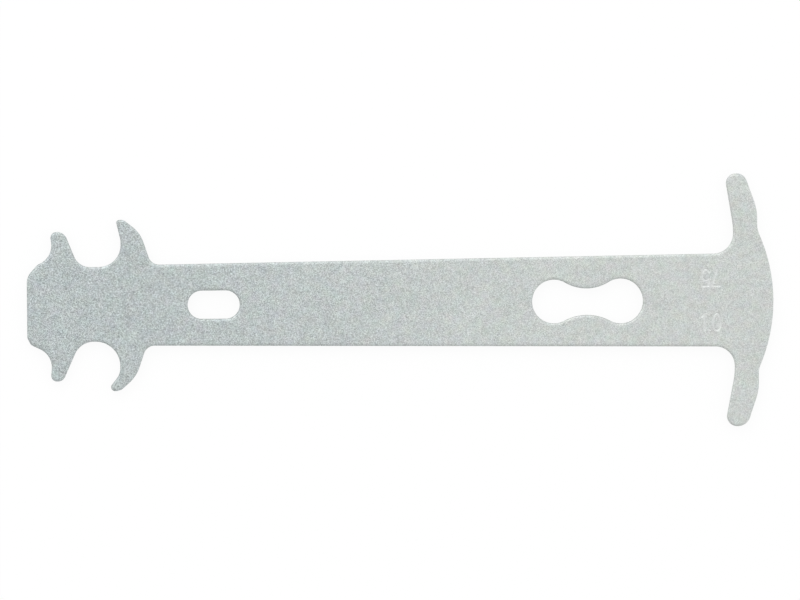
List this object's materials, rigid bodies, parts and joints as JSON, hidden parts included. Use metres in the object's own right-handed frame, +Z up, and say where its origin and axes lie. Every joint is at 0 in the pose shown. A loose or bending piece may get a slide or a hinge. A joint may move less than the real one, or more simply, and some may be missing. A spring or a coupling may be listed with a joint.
{
  "type": "chain wear gauge",
  "caption": "Flat stamped steel gauge for bicycle chain wear: a tapering bar with horned roller notches at one end, a T head at the other, a hang slot and a link-shaped window.",
  "frame": {"origin": "middle of the plate's underside, halfway along its length and halfway across the T arms", "axes": "+X along the bar from the hook end to the T head, +Y across the bar to the 0.75 percent side, +Z up through the sheet"},
  "size_m": [0.14, 0.0474, 0.002],
  "materials": {
    "plate": "tumbled, zinc plated sheet steel, matte and finely speckled"
  },
  "bodies": {
    "root": {"gauge_plate": "plate"}
  },
  "joints": []
}
